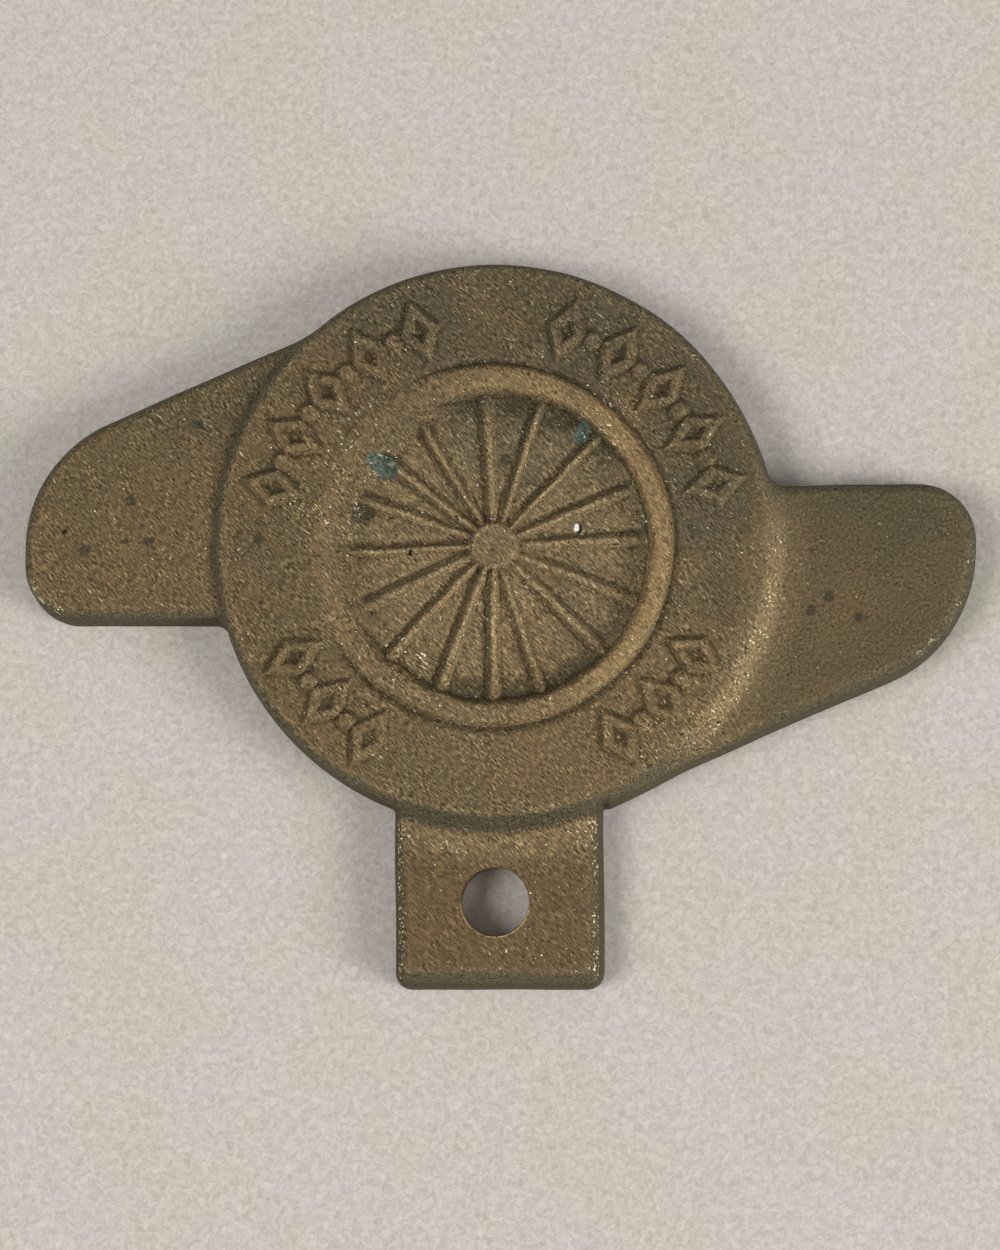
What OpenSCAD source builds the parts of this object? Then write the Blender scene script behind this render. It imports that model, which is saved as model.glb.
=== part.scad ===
// Cast brass car badge in the form of a two-eared wheel spinner.
// The round body lies on its flat back, with its centre on the Z axis and its front facing +Z.
// All sizes are in millimetres and all angles in degrees.

/* [Round body] */
// Radius of the round body at its flat back
body_r = 27.9; // [26:0.1:30]
// Height of the border band's face above the flat back
band_h = 6.2; // [5.6:0.1:8]
// Rounding of the body's front shoulder
shoulder_r = 1.2; // [0.6:0.1:1.5]
// Draft of the cast side walls
wall_draft = 6; // [1:0.5:7]
// Radius of the soft inside corner where the body rises from the ears and the lug
foot_r = 0.6; // [0.3:0.1:1]

/* [Spoked wheel] */
// Radius of the wheel rim's outer foot
rim_r = 17.9; // [16:0.1:19]
// Radial width of the wheel rim
rim_w = 3; // [2.4:0.1:4]
// Height of the rim's crown above the border band
rim_rise = 0.45; // [0.3:0.05:0.9]
// Depth of the groove round the rim, below the border band
rim_groove = 0.25; // [0.1:0.05:0.4]
// Depth of the spoked well below the border band
well_depth = 0.8; // [0.6:0.05:1.5]
// Number of spokes
spoke_count = 16; // [8:1:20]
// Width of a spoke where it meets the rim
spoke_rim_w = 1.1; // [0.6:0.05:1.4]
// Least gap between neighbouring spokes where they meet the hub
spoke_gap = 0.1; // [0.05:0.05:0.3]
// Turn of the first spoke from the +X axis
spoke_turn = 1.7; // [0:0.1:20]
// Radius of the flat hub
hub_r = 2.6; // [2:0.1:4]
// Height of the hub above the well's floor
hub_h = 1; // [0.6:0.05:1.4]
// Rounding of the hub's top edge
hub_edge_r = 0.3; // [0.1:0.05:0.5]
// How far the wheel and the border lie below the body's centre
wheel_down = 0.5; // [0:0.05:0.7]

/* [Ears] */
// Thickness of the ears
ear_t = 5; // [4:0.1:5.2]
// Distance from the middle of the ears to each tip
ear_reach = 47; // [42:0.25:55]
// Distance from the middle of the ears to the left ear's short edge
left_short_edge_d = 7.2; // [6:0.1:10]
// Distance from the middle of the ears to the right ear's short edge
right_short_edge_d = 6.4; // [6:0.1:10]
// How far each long edge runs inside the circle of the body's foot
long_edge_in = 0.6; // [0:0.1:1.5]
// Slope of the long edges
long_edge_slope = 23.5; // [18:0.5:28]
// Radius of the tip corner on the long edge
long_corner_r = 14; // [8:0.5:16]
// Radius of the tip corner on the short edge
short_corner_r = 5.8; // [3:0.1:6.5]
// Rounding of the front edges of the ears and the lug
edge_r = 1.1; // [0.3:0.1:1.2]

/* [Mounting lug] */
// Thickness of the lug
lug_t = 4.6; // [3.5:0.1:5.2]
// Width of the lug
lug_w = 20.5; // [16:0.1:24]
// Distance from the middle of the ears to the lug's lower edge
lug_reach = 43.1; // [40:0.1:50]
// Radius of the lug's lower corners
lug_corner_r = 1.7; // [1.4:0.1:4]
// Diameter of the bolt hole
hole_d = 6.6; // [5:0.1:8.5]
// Distance from the bolt hole's centre, on the body's centre line, to the lug's lower edge
hole_edge_d = 8.6; // [6:0.1:11]

/* [Place of the ears and the lug] */
// How far the middle of the ears lies to the right of the body's centre
ears_right = 0.3; // [0:0.1:1]
// How far the middle of the ears lies below the body's centre
ears_down = 0.55; // [0:0.05:1]

/* [Border] */
// Height of the border's ornaments above the band
relief_h = 0.5; // [0.3:0.05:0.8]
// Gap between the rim and the ornaments
border_inner_gap = 1.5; // [1.2:0.1:2.5]
// Gap between the ornaments and the body's shoulder
border_outer_gap = 0.5; // [0.3:0.1:1.5]
// Width of a lozenge across the band
lozenge_w = 3.6; // [3:0.1:4.2]
// Width of the raised frame round a lozenge's sunk field
lozenge_frame = 0.8; // [0.5:0.05:1]
// Diameter of a pellet
pellet_d = 1.5; // [1:0.1:1.7]
// Angle between neighbouring lozenges
lozenge_pitch = 14; // [13:0.5:16]
// Number of lozenges in each upper border
upper_count = 5; // [2:1:5]
// Number of lozenges in each lower border
lower_count = 3; // [2:1:3]
// Angle of the upper borders' middle above the X axis
upper_angle = 43; // [40:1:46]
// Angle of the lower borders' middle below the X axis
lower_angle = 43; // [38:1:48]

/* [Hidden] */

brass = "#6f5d43";
worn_brass = "#7d6a49";

// Smoothness of the round forms and of their small roundings, how far a cutter runs past a face,
// the least flat left inside a rounded edge, and the step where the soft inside corner ends on the body
$fn = 64;
round_fn = 24;
cut = 1;
spare = 0.01;
foot_lap = 0.05;

// Wheel relief
wheel_middle = [0, -wheel_down, 0];
floor_z = band_h - well_depth;
crown_z = band_h + rim_rise;
rim_in_r = rim_r - rim_w;
crown_sag = rim_rise + rim_groove;
crown_r = (rim_w * rim_w / 4 + crown_sag * crown_sag) / (2 * crown_sag);
crown_mid_z = crown_z - crown_r;
rim_base_h = max(cut / 2, crown_mid_z - floor_z + cut);

// How far each hand-cut spoke strays from an even pitch
spoke_stray = [0, -2, -1, 2, 1, 6, 4, 1, 1, 1, 0, 0, -2, -6, -1, -1];
spoke_angles = [
    for (i = [0 : spoke_count - 1])
        spoke_turn + i * 360 / spoke_count + spoke_stray[i % len(spoke_stray)]
];
spoke_steps = [
    for (i = [1 : spoke_count])
        i < spoke_count ? spoke_angles[i] - spoke_angles[i - 1] : 360 + spoke_angles[0] - spoke_angles[i - 1]
];
spoke_hub_w = 2 * hub_r * sin(min(spoke_steps) / 2) - spoke_gap;
spoke_taper = (spoke_rim_w - spoke_hub_w) / (rim_in_r - hub_r);

// Middle of the ears, and the centres of the right ear's corners and roots measured from it
ear_middle = [ears_right, -ears_down, 0];
long_edge_d = body_r - long_edge_in;
long_out = [sin(long_edge_slope), -cos(long_edge_slope)];
tip_long_x = ear_reach - long_corner_r;
tip_long_y = (long_corner_r - long_edge_d + long_out[0] * tip_long_x) / -long_out[1];
root_long = (long_edge_d - short_corner_r) * long_out;
corner_turn = 90 - long_edge_slope;
corner_steps = 8;

// Lug corners, measured from the middle of the ears, and the bolt hole
lug_foot_r = max(lug_corner_r, edge_inset(band_h, edge_r) + spare);
lug_side = lug_w / 2 - lug_foot_r;
lug_low = lug_foot_r - lug_reach;
lug_root = -body_r / 2;
hole_place = [0, hole_edge_d - lug_reach - ears_down, -cut];

// Centre of the shoulder's rounding, and the border band between the rim and the nearest part of the shoulder
shoulder_mid = [body_r - edge_inset(band_h, shoulder_r), band_h - shoulder_r];
band_out_r = shoulder_mid[0] - wheel_down;
lozenge_len = band_out_r - border_outer_gap - rim_r - border_inner_gap;
border_r = rim_r + border_inner_gap + lozenge_len / 2;
pellet_r = (pellet_d * pellet_d / 4 + relief_h * relief_h) / (2 * relief_h);

// How far a rounded front edge's flat top starts in from the foot of its drafted wall
function edge_inset(thick, round_r) =
    (round_r + (thick - round_r) * sin(wall_draft)) / cos(wall_draft);

// Centre of the inside corner's rounding where the body rises from a flat face: it touches the face,
// and it ends just off the body's shoulder or, lower down, off its drafted wall
function foot_mid(face_z) =
    let (
        mid_z = face_z + foot_r,
        reach = shoulder_r + foot_r + foot_lap,
        rise = mid_z - shoulder_mid[1]
    )
    rise > reach * sin(wall_draft)
        ? [shoulder_mid[0] + sqrt(reach * reach - rise * rise), mid_z]
        : [body_r - mid_z * tan(wall_draft) + (foot_r + foot_lap) / cos(wall_draft), mid_z];

// A cast pad: flat back, drafted wall and rounded front edge
module pad(foot, thick, round_r) {
    inset = edge_inset(thick, round_r);
    arc = [foot - inset, thick - round_r];
    rotate_extrude() {
        polygon([
            [0, 0],
            [foot, 0],
            arc + round_r * [cos(wall_draft), sin(wall_draft)],
            arc,
            [arc[0], thick],
            [0, thick]
        ]);
        intersection() {
            translate(arc) circle(round_r, $fn = round_fn);
            translate(arc) square(round_r);
        }
    }
}

// The round body before the wheel's recess is sunk into its front
module body_blank() {
    pad(body_r, band_h, shoulder_r);
}

// The round body, with a flat-floored recess for the wheel
module round_body() {
    color(brass)
    difference() {
        body_blank();
        translate(wheel_middle + [0, 0, floor_z]) cylinder(r = rim_r, h = band_h);
    }
}

// The soft inside corner that runs round the body's foot at the height of a flat face
module body_foot(face_z) {
    mid = foot_mid(face_z);
    side = [foot_r + cut, foot_r + edge_r];
    rotate_extrude()
    difference() {
        translate(mid - side) square(side);
        translate(mid) circle(foot_r);
    }
}

// Right ear's outline as a blank of any thickness, measured from the middle of the ears
module ear_blank(thick, short_edge_d) {
    swing = long_corner_r - short_corner_r;
    short_y = short_edge_d - short_corner_r;
    hull() {
        for (i = [0 : corner_steps]) {
            turn = -corner_turn * i / corner_steps;
            translate([tip_long_x + swing * cos(turn), tip_long_y + swing * sin(turn)])
            pad(short_corner_r, thick, edge_r);
        }
        for (place = [[ear_reach - short_corner_r, short_y], [body_r / 2, short_y], root_long])
            translate(place) pad(short_corner_r, thick, edge_r);
    }
}

// An ear seated on the body's wall, turned half round for the left one
module ear(turn, short_edge_d) {
    difference() {
        union() {
            translate(ear_middle) rotate(turn) ear_blank(ear_t, short_edge_d);
            intersection() {
                body_foot(ear_t);
                translate(ear_middle) rotate(turn) ear_blank(band_h, short_edge_d);
            }
        }
        body_blank();
    }
}

module left_ear() {
    color(brass) ear(180, left_short_edge_d);
}

// The right ear's long edge runs on to the lug's side
module right_ear() {
    color(brass)
    difference() {
        ear(0, right_short_edge_d);
        translate(ear_middle) lug_blank(band_h);
    }
}

// Lug's outline as a blank of any thickness, measured from the middle of the ears
module lug_blank(thick) {
    hull()
    for (side = [-lug_side, lug_side], end = [lug_low, lug_root])
        translate([side, end]) pad(lug_foot_r, thick, edge_r);
}

// Lug below the body, with its bolt hole
module mounting_lug() {
    color(brass)
    difference() {
        union() {
            translate(ear_middle) lug_blank(lug_t);
            intersection() {
                body_foot(lug_t);
                translate(ear_middle) lug_blank(band_h);
            }
        }
        body_blank();
        translate(hole_place) cylinder(d = hole_d, h = lug_t + 2 * cut);
    }
}

// Rounded rim that stands in the recess and rises over the band
module wheel_rim() {
    color(worn_brass)
    translate(wheel_middle)
    rotate_extrude()
    intersection() {
        translate([rim_in_r, floor_z]) square([rim_w, crown_z]);
        union() {
            translate([rim_r - rim_w / 2, crown_mid_z]) circle(crown_r);
            translate([rim_in_r - cut, floor_z - cut]) square([rim_w + 2 * cut, rim_base_h]);
        }
    }
}

// Open space of the well, between the hub and the rim
module well_space() {
    translate([0, 0, floor_z])
    difference() {
        cylinder(r = rim_in_r, h = band_h);
        translate([0, 0, -cut]) cylinder(r = hub_r, h = band_h + 2 * cut);
    }
}

// One tapered half-round spoke along +X, lying on the well's floor from the hub to the rim
module spoke() {
    intersection() {
        rotate(90) well_space();
        translate([0, 0, floor_z])
        rotate([0, 90, 0])
        cylinder(d1 = spoke_hub_w - spoke_taper * hub_r, d2 = spoke_rim_w + spoke_taper * rim_w, h = rim_r);
    }
}

// Spokes between the hub and the rim
module wheel_spokes() {
    color(worn_brass)
    translate(wheel_middle)
    for (angle = spoke_angles)
        rotate(angle) spoke();
}

// Flat hub at the middle of the wheel
module wheel_hub() {
    color(worn_brass)
    translate(wheel_middle + [0, 0, floor_z])
    rotate_extrude() {
        square([hub_r - hub_edge_r, hub_h]);
        square([hub_r, hub_h - hub_edge_r]);
        translate([hub_r - hub_edge_r, hub_h - hub_edge_r]) circle(hub_edge_r);
    }
}

// Raised lozenge frame round a sunk field, pointing outwards along +X
module lozenge() {
    tip = lozenge_len / 2;
    side = lozenge_w / 2;
    frame_share = lozenge_frame * sqrt(tip * tip + side * side) / (tip * side);
    translate([border_r, 0, band_h])
    linear_extrude(relief_h)
    difference() {
        polygon([[-tip, 0], [0, -side], [tip, 0], [0, side]]);
        polygon((1 - frame_share) * [[-tip, 0], [0, -side], [tip, 0], [0, side]]);
    }
}

// Low domed pellet on the border's centre line
module pellet() {
    translate([border_r, 0, band_h])
    intersection() {
        translate([0, 0, relief_h - pellet_r]) sphere(pellet_r);
        cylinder(d = pellet_d + cut, h = relief_h + cut);
    }
}

// A run of lozenges with pellets between them, centred on one direction
module border(count, middle) {
    start = middle - (count - 1) / 2 * lozenge_pitch;
    color(worn_brass)
    translate(wheel_middle) {
        for (i = [0 : count - 1])
            rotate(start + i * lozenge_pitch) lozenge();
        for (i = [0 : count - 2])
            rotate(start + (i + 0.5) * lozenge_pitch) pellet();
    }
}

module upper_left_border() {
    border(upper_count, 180 - upper_angle);
}

module upper_right_border() {
    border(upper_count, upper_angle);
}

module lower_left_border() {
    border(lower_count, 180 + lower_angle);
}

module lower_right_border() {
    border(lower_count, -lower_angle);
}

round_body();
left_ear();
right_ear();
mounting_lug();
wheel_rim();
wheel_spokes();
wheel_hub();
upper_left_border();
upper_right_border();
lower_left_border();
lower_right_border();
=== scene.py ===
# %% [markdown]
# A sand-cast brass car badge, shaped like the two-eared nut that once held a wire wheel on its axle. The
# real badge is one casting: a thick round body, two thinner ears, a drilled lug, and a spoked wheel and a
# border in relief on its face. Here each of those features is a piece of its own, laid over the measured
# CAD solid that it stands for. The lesson starts by loading those solids.

# %% Load the measured solids
import math
from functools import partial

import bpy
import numpy as np
from mathutils import Matrix, Vector
from mathutils.bvhtree import BVHTree


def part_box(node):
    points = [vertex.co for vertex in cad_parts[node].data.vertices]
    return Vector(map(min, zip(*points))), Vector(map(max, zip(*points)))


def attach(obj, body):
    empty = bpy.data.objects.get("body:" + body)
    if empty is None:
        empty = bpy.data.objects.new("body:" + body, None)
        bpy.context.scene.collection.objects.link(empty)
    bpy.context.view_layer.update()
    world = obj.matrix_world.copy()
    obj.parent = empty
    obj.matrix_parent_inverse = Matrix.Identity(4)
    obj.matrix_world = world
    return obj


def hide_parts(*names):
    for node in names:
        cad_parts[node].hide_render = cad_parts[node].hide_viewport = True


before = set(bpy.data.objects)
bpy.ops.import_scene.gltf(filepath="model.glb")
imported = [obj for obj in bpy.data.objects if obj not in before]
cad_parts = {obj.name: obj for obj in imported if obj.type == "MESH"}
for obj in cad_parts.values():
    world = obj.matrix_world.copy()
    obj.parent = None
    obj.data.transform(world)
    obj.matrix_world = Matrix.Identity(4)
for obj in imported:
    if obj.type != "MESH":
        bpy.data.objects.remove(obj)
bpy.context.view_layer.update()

# %% [markdown]
# Blender works in metres, but a badge is easier to think of in millimetres. The shapes below are worked out
# in millimetres and shrunk to metres when each one becomes a mesh. Sizes that a solid's box can tell are
# read from it, so the looks follow the solids.

# %% Sizes read from the solids
MM = 0.001


def solid_box(node):
    low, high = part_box(node)
    return np.array(low) / MM, np.array(high) / MM


body_r = solid_box("round_body")[1][0]
band_z = solid_box("round_body")[1][2]
rim_low, rim_high = solid_box("wheel_rim")
wheel_mid = (rim_low + rim_high)[:2] / 2
rim_r = rim_high[0] - wheel_mid[0]
floor_z, crown_z = rim_low[2], rim_high[2]
hub_low, hub_high = solid_box("wheel_hub")
hub_r = (hub_high - hub_low)[0] / 2
hub_z = hub_high[2]
right_tip = solid_box("right_ear")[1][0]
lug_box = solid_box("mounting_lug")
print("body radius", round(body_r, 2), "rim radius", round(rim_r, 2), "wheel's middle", wheel_mid.round(2))

# %% [markdown]
# The camera stands almost straight above the badge, 300 mm away and leaning a little towards its lower
# right. A long lens at that distance gives the slight widening of near edges that a phone held over a table
# gives. The lens is worked out from the image's width in pixels, so that the badge fills the frame as it
# should.

# %% Camera
IMAGE_WIDTH = 1000
LENS_PIXELS = 3030
camera_distance = 300
camera_lean_down = math.radians(5.2)
camera_lean_right = math.radians(2.3)
camera_roll = math.radians(-0.12)
camera_aim = Vector((0.374, -7.741, 0))

camera_data = bpy.data.cameras.new("camera")
camera_data.sensor_fit = "HORIZONTAL"
camera_data.sensor_width = 36
camera_data.lens = camera_data.sensor_width * LENS_PIXELS / IMAGE_WIDTH
camera_data.clip_start = 0.01
camera = bpy.data.objects.new("camera", camera_data)
bpy.context.scene.collection.objects.link(camera)
away = Vector((math.sin(camera_lean_right), -math.sin(camera_lean_down), 0))
away.z = math.sqrt(1 - away.length_squared)
level = Vector((0, 1, 0)).cross(away).normalized()
right = math.cos(camera_roll) * level + math.sin(camera_roll) * away.cross(level)
up = away.cross(right)
turn = Matrix((right, up, away)).transposed().to_4x4()
camera.matrix_world = Matrix.Translation((camera_aim + camera_distance * away) * MM) @ turn
bpy.context.scene.camera = camera
print("lens", round(camera_data.lens, 1), "mm")

# %% [markdown]
# No casting is true. The sand shifts, the metal shrinks, and years of rubbing do the rest, so every edge
# wanders by a few hundredths of a millimetre. One smooth, seeded unevenness is shared by all pieces:
# because each piece is moved by the same rule at the same place, neighbours still meet after it.

# %% Unevenness of the casting
def slow_waves(seed, count, shortest, longest):
    pick = np.random.default_rng(seed)
    headings = pick.uniform(0, 2 * np.pi, count)
    rates = 2 * np.pi / pick.uniform(shortest, longest, count)
    starts = pick.uniform(0, 2 * np.pi, count)

    def height(x, y):
        total = np.zeros(np.broadcast(x, y).shape)
        for heading, rate, start in zip(headings, rates, starts):
            total += np.sin(rate * (x * np.cos(heading) + y * np.sin(heading)) + start)
        return total / math.sqrt(count / 2)

    return height


sideways_wave = slow_waves(seed=11, count=14, shortest=7, longest=26)
upright_wave = slow_waves(seed=12, count=14, shortest=7, longest=26)
surface_wave = slow_waves(seed=13, count=18, shortest=4, longest=16)
edge_wander = 0.032
surface_wander = 0.022
full_wander_z = 4


def uneven(points):
    x, y, z = points.T
    lift = np.clip(z / full_wander_z, 0, 1)
    return np.stack([
        x + edge_wander * sideways_wave(x, y),
        y + edge_wander * upright_wave(x, y),
        z + surface_wander * lift * surface_wave(x, y),
    ], axis=1)


sample = np.random.default_rng(1).uniform(-40, 40, (500, 3)) * [1, 1, 0] + [0, 0, 6]
print("largest wander in mm:", np.abs(uneven(sample) - sample).max(axis=0).round(3))

# %% [markdown]
# Every piece ends as a plain mesh whose object sits at the origin. Helpers for that come next: one makes an
# object from points and faces in millimetres, another spins a profile round the badge's axis as a lathe
# would.

# %% Helpers for plain meshes
pieces = []
sharp_over = math.radians(50)


def plain_piece(name, points, faces):
    mesh = bpy.data.meshes.new(name)
    mesh.from_pydata((uneven(np.asarray(points)) * MM).tolist(), [], [list(face) for face in faces])
    mesh.validate()
    mesh.shade_smooth()
    mesh.set_sharp_from_angle(angle=sharp_over)
    piece = bpy.data.objects.new(name, mesh)
    bpy.context.scene.collection.objects.link(piece)
    pieces.append(piece)
    print(name, len(mesh.vertices), "points", len(mesh.polygons), "faces")
    return piece


def spun(profile, steps, shift):
    profile = np.asarray(profile, float)
    shift = np.broadcast_to(shift, (len(profile), 2))
    angle = np.arange(steps) * 2 * np.pi / steps
    points = [(*shift[0], profile[0, 1])]
    for (r, z), (dx, dy) in zip(profile[1:-1], shift[1:-1]):
        points += list(zip(dx + r * np.cos(angle), dy + r * np.sin(angle), np.full(steps, z)))
    points.append((*shift[-1], profile[-1, 1]))
    last = len(points) - 1
    faces = []
    after = (np.arange(steps) + 1) % steps
    rings = len(profile) - 2
    for i, j in enumerate(after):
        faces.append((0, 1 + j, 1 + i))
        for k in range(rings - 1):
            low, high = 1 + k * steps, 1 + (k + 1) * steps
            faces.append((low + i, low + j, high + j, high + i))
        top = 1 + (rings - 1) * steps
        faces.append((last, top + i, top + j))
    return np.array(points), faces


def arc(middle, radius, start, end, steps):
    angle = np.radians(np.linspace(start, end, steps))
    return np.stack([middle[0] + radius * np.cos(angle), middle[1] + radius * np.sin(angle)], axis=1)


print("a quarter turn of radius 1:", arc((0, 0), 1, 0, 90, 3).round(2).tolist())

# %% [markdown]
# The round body is a lathe shape: flat back, wall with a few degrees of draft so that the pattern could
# leave the sand, a soft shoulder, the flat border band, and a recess for the wheel. The wheel sits a little
# off the body's middle, so the rings of the lathe shape slide over to the wheel's groove as they cross the
# band. On the left the relief has worn soft: the groove fades out and the recess floor swells until it is
# level with the rim, and on the right it swells part of the way. Where a spoke will stand, the floor dips a
# little beside it, as a carver's gouge leaves it, deepest on the side that faces the upper left, and it
# rises towards the hub.

# %% Round body
draft = math.radians(6)
shoulder_r = 1.2
back_edge_r = 0.2
groove_drop = 0.26
groove_w = 0.85
recess_r = rim_r - 1.6
spoke_turn = 1.7
spoke_stray = np.array([0, -2, -1, 2, 1, 6, 4, 1, 1, 1, 0, 0, -2, -6, -1, -1])
spoke_count = len(spoke_stray)
spoke_angles = np.radians(spoke_turn + 360 / spoke_count * np.arange(spoke_count) + spoke_stray)
gouge_depth, gouge_off, gouge_w = 0.17, 0.85, 0.38
gouge_side = math.radians(135)
hub_rise, hub_rise_r = 0.3, 7.5
soft_side, soft_low, soft_high = math.radians(162), 0.4, 0.75
filled_side, filled_low, filled_high = math.radians(-8), 0.5, 0.9
filled_share = 0.75
soft_fill_r, part_fill_r = (12.8, 15.3), (13.2, 15.2)
hair = 1e-6
groove_mid = wheel_mid + [-0.35, 0.1]
well_mid = wheel_mid + [0.15, -0.2]


def edge_inset(thick, round_r):
    return (round_r + (thick - round_r) * math.sin(draft)) / math.cos(draft)


def smooth_step(value, low, high):
    share = np.clip((value - low) / (high - low), 0, 1)
    return share * share * (3 - 2 * share)


def spoke_offsets(x, y):
    apart = np.arctan2(y - wheel_mid[1], x - wheel_mid[0])[..., None] - spoke_angles
    off = np.hypot(x - wheel_mid[0], y - wheel_mid[1])[..., None] * np.sin(apart)
    return off, np.cos(apart) > 0


def gouged(x, y):
    off, ahead = spoke_offsets(x, y)
    deep = 0.55 + 0.45 * np.sign(off) * np.cos(spoke_angles + np.pi / 2 - gouge_side)
    return (deep * np.exp(-((np.abs(off) - gouge_off) / gouge_w) ** 2) * ahead).max(axis=-1)


def facing(x, y, side):
    return np.cos(np.arctan2(y - wheel_mid[1], x - wheel_mid[0]) - side)


def worn_soft(x, y):
    return smooth_step(facing(x, y, soft_side), soft_low, soft_high)


def part_filled(x, y):
    return smooth_step(facing(x, y, filled_side), filled_low, filled_high)


shoulder_mid = (body_r - edge_inset(band_z, shoulder_r), band_z - shoulder_r)
wall_low = (body_r - back_edge_r * math.tan(draft), back_edge_r)
shoulder = arc(shoulder_mid, shoulder_r, math.degrees(draft), 90, 14)
wall = np.linspace(wall_low, shoulder[0], 8)[:-1]
back = np.stack([np.linspace(0, body_r - back_edge_r, 12), np.zeros(12)], axis=1)
band = np.stack([np.linspace(shoulder_mid[0], rim_r + groove_w, 26)[1:], np.full(25, band_z)], axis=1)
dip = np.linspace(0, 1, 9)[1:]
groove = np.stack([rim_r + groove_w * (1 - dip), band_z - groove_drop * smooth_step(dip, 0, 1)], axis=1)
recess = np.stack([np.linspace(recess_r, 0, 50), np.full(50, floor_z)], axis=1)
body_profile = np.concatenate([back, wall, shoulder, band, groove, recess])
slide = np.concatenate([np.zeros(len(back) + len(wall) + len(shoulder)), np.linspace(0, 1, len(band)),
                        np.ones(len(groove))])
slide = np.concatenate([slide[:, None] * groove_mid, np.tile(wheel_mid, (len(recess), 1))])
body_points, body_faces = spun(body_profile, 720, slide)
body_x, body_y, body_z = body_points.T
on_floor = np.abs(body_z - floor_z) < hair
floor_x, floor_y = body_x[on_floor], body_y[on_floor]
from_hub = np.hypot(floor_x - wheel_mid[0], floor_y - wheel_mid[1])
filling = worn_soft(floor_x, floor_y) * smooth_step(from_hub, *soft_fill_r)
filling += filled_share * part_filled(floor_x, floor_y) * smooth_step(from_hub, *part_fill_r)
swelling = hub_rise * (1 - smooth_step(from_hub, hub_r, hub_rise_r))
body_z[on_floor] += swelling + (band_z - floor_z) * filling
body_z[on_floor] -= gouge_depth * gouged(floor_x, floor_y)
in_groove = (body_z < band_z - hair) & (body_z > band_z - groove_drop - hair)
in_groove &= np.hypot(body_x - groove_mid[0], body_y - groove_mid[1]) > rim_r - 0.01
in_groove &= np.hypot(body_x, body_y) < shoulder_mid[0] - 2
body_z[in_groove] += worn_soft(body_x[in_groove], body_y[in_groove]) * (band_z - body_z[in_groove])
round_body = plain_piece("round_body_casting", body_points, body_faces)

# %% [markdown]
# The ears and the lug grow out of the body with soft inside corners, which no lathe makes. For them a shape
# is written as a rule that gives, for any point in space, the gap to its surface: negative inside the metal
# and positive outside. Such gaps join with a fillet by a little arithmetic. A routine then lays a skin
# of small faces where the gap is zero, and slides each point onto it. A ball tries it out.

# %% Gaps to cast shapes
def outline_gap(outline, x, y):
    x, y = np.broadcast_arrays(x, y)
    nearest = np.full(x.shape, np.inf)
    inside = np.zeros(x.shape, bool)
    for (ax, ay), (bx, by) in zip(outline, np.roll(outline, -1, axis=0)):
        ex, ey = bx - ax, by - ay
        along = np.clip(((x - ax) * ex + (y - ay) * ey) / (ex * ex + ey * ey), 0, 1)
        nearest = np.minimum(nearest, np.hypot(x - ax - along * ex, y - ay - along * ey))
        if ay != by:
            inside ^= ((ay > y) != (by > y)) & (x < ex * (y - ay) / ey + ax)
    return np.where(inside, -nearest, nearest)


def pad_gap(plan_gap, z, thick, round_r):
    side = (plan_gap + z * math.tan(draft)) * math.cos(draft) + round_r
    top = z - thick + round_r
    outside = np.hypot(np.maximum(side, 0), np.maximum(top, 0))
    return np.minimum(np.maximum(side, top), 0) + outside - round_r


def soft_join(a, b, fillet):
    rounded = np.hypot(np.maximum(fillet - a, 0), np.maximum(fillet - b, 0))
    return np.maximum(fillet, np.minimum(a, b)) - rounded


def soft_cut(a, b, round_r):
    rounded = np.hypot(np.maximum(round_r + a, 0), np.maximum(round_r - b, 0))
    return np.minimum(-round_r, np.maximum(a, -b)) + rounded


def body_gap(x, y, z):
    return pad_gap(np.hypot(x, y) - body_r, z, band_z, shoulder_r)


print("gap from the band's face to a point 1 mm above it:", float(body_gap(np.array(22.0), 0, band_z + 1)))

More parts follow.
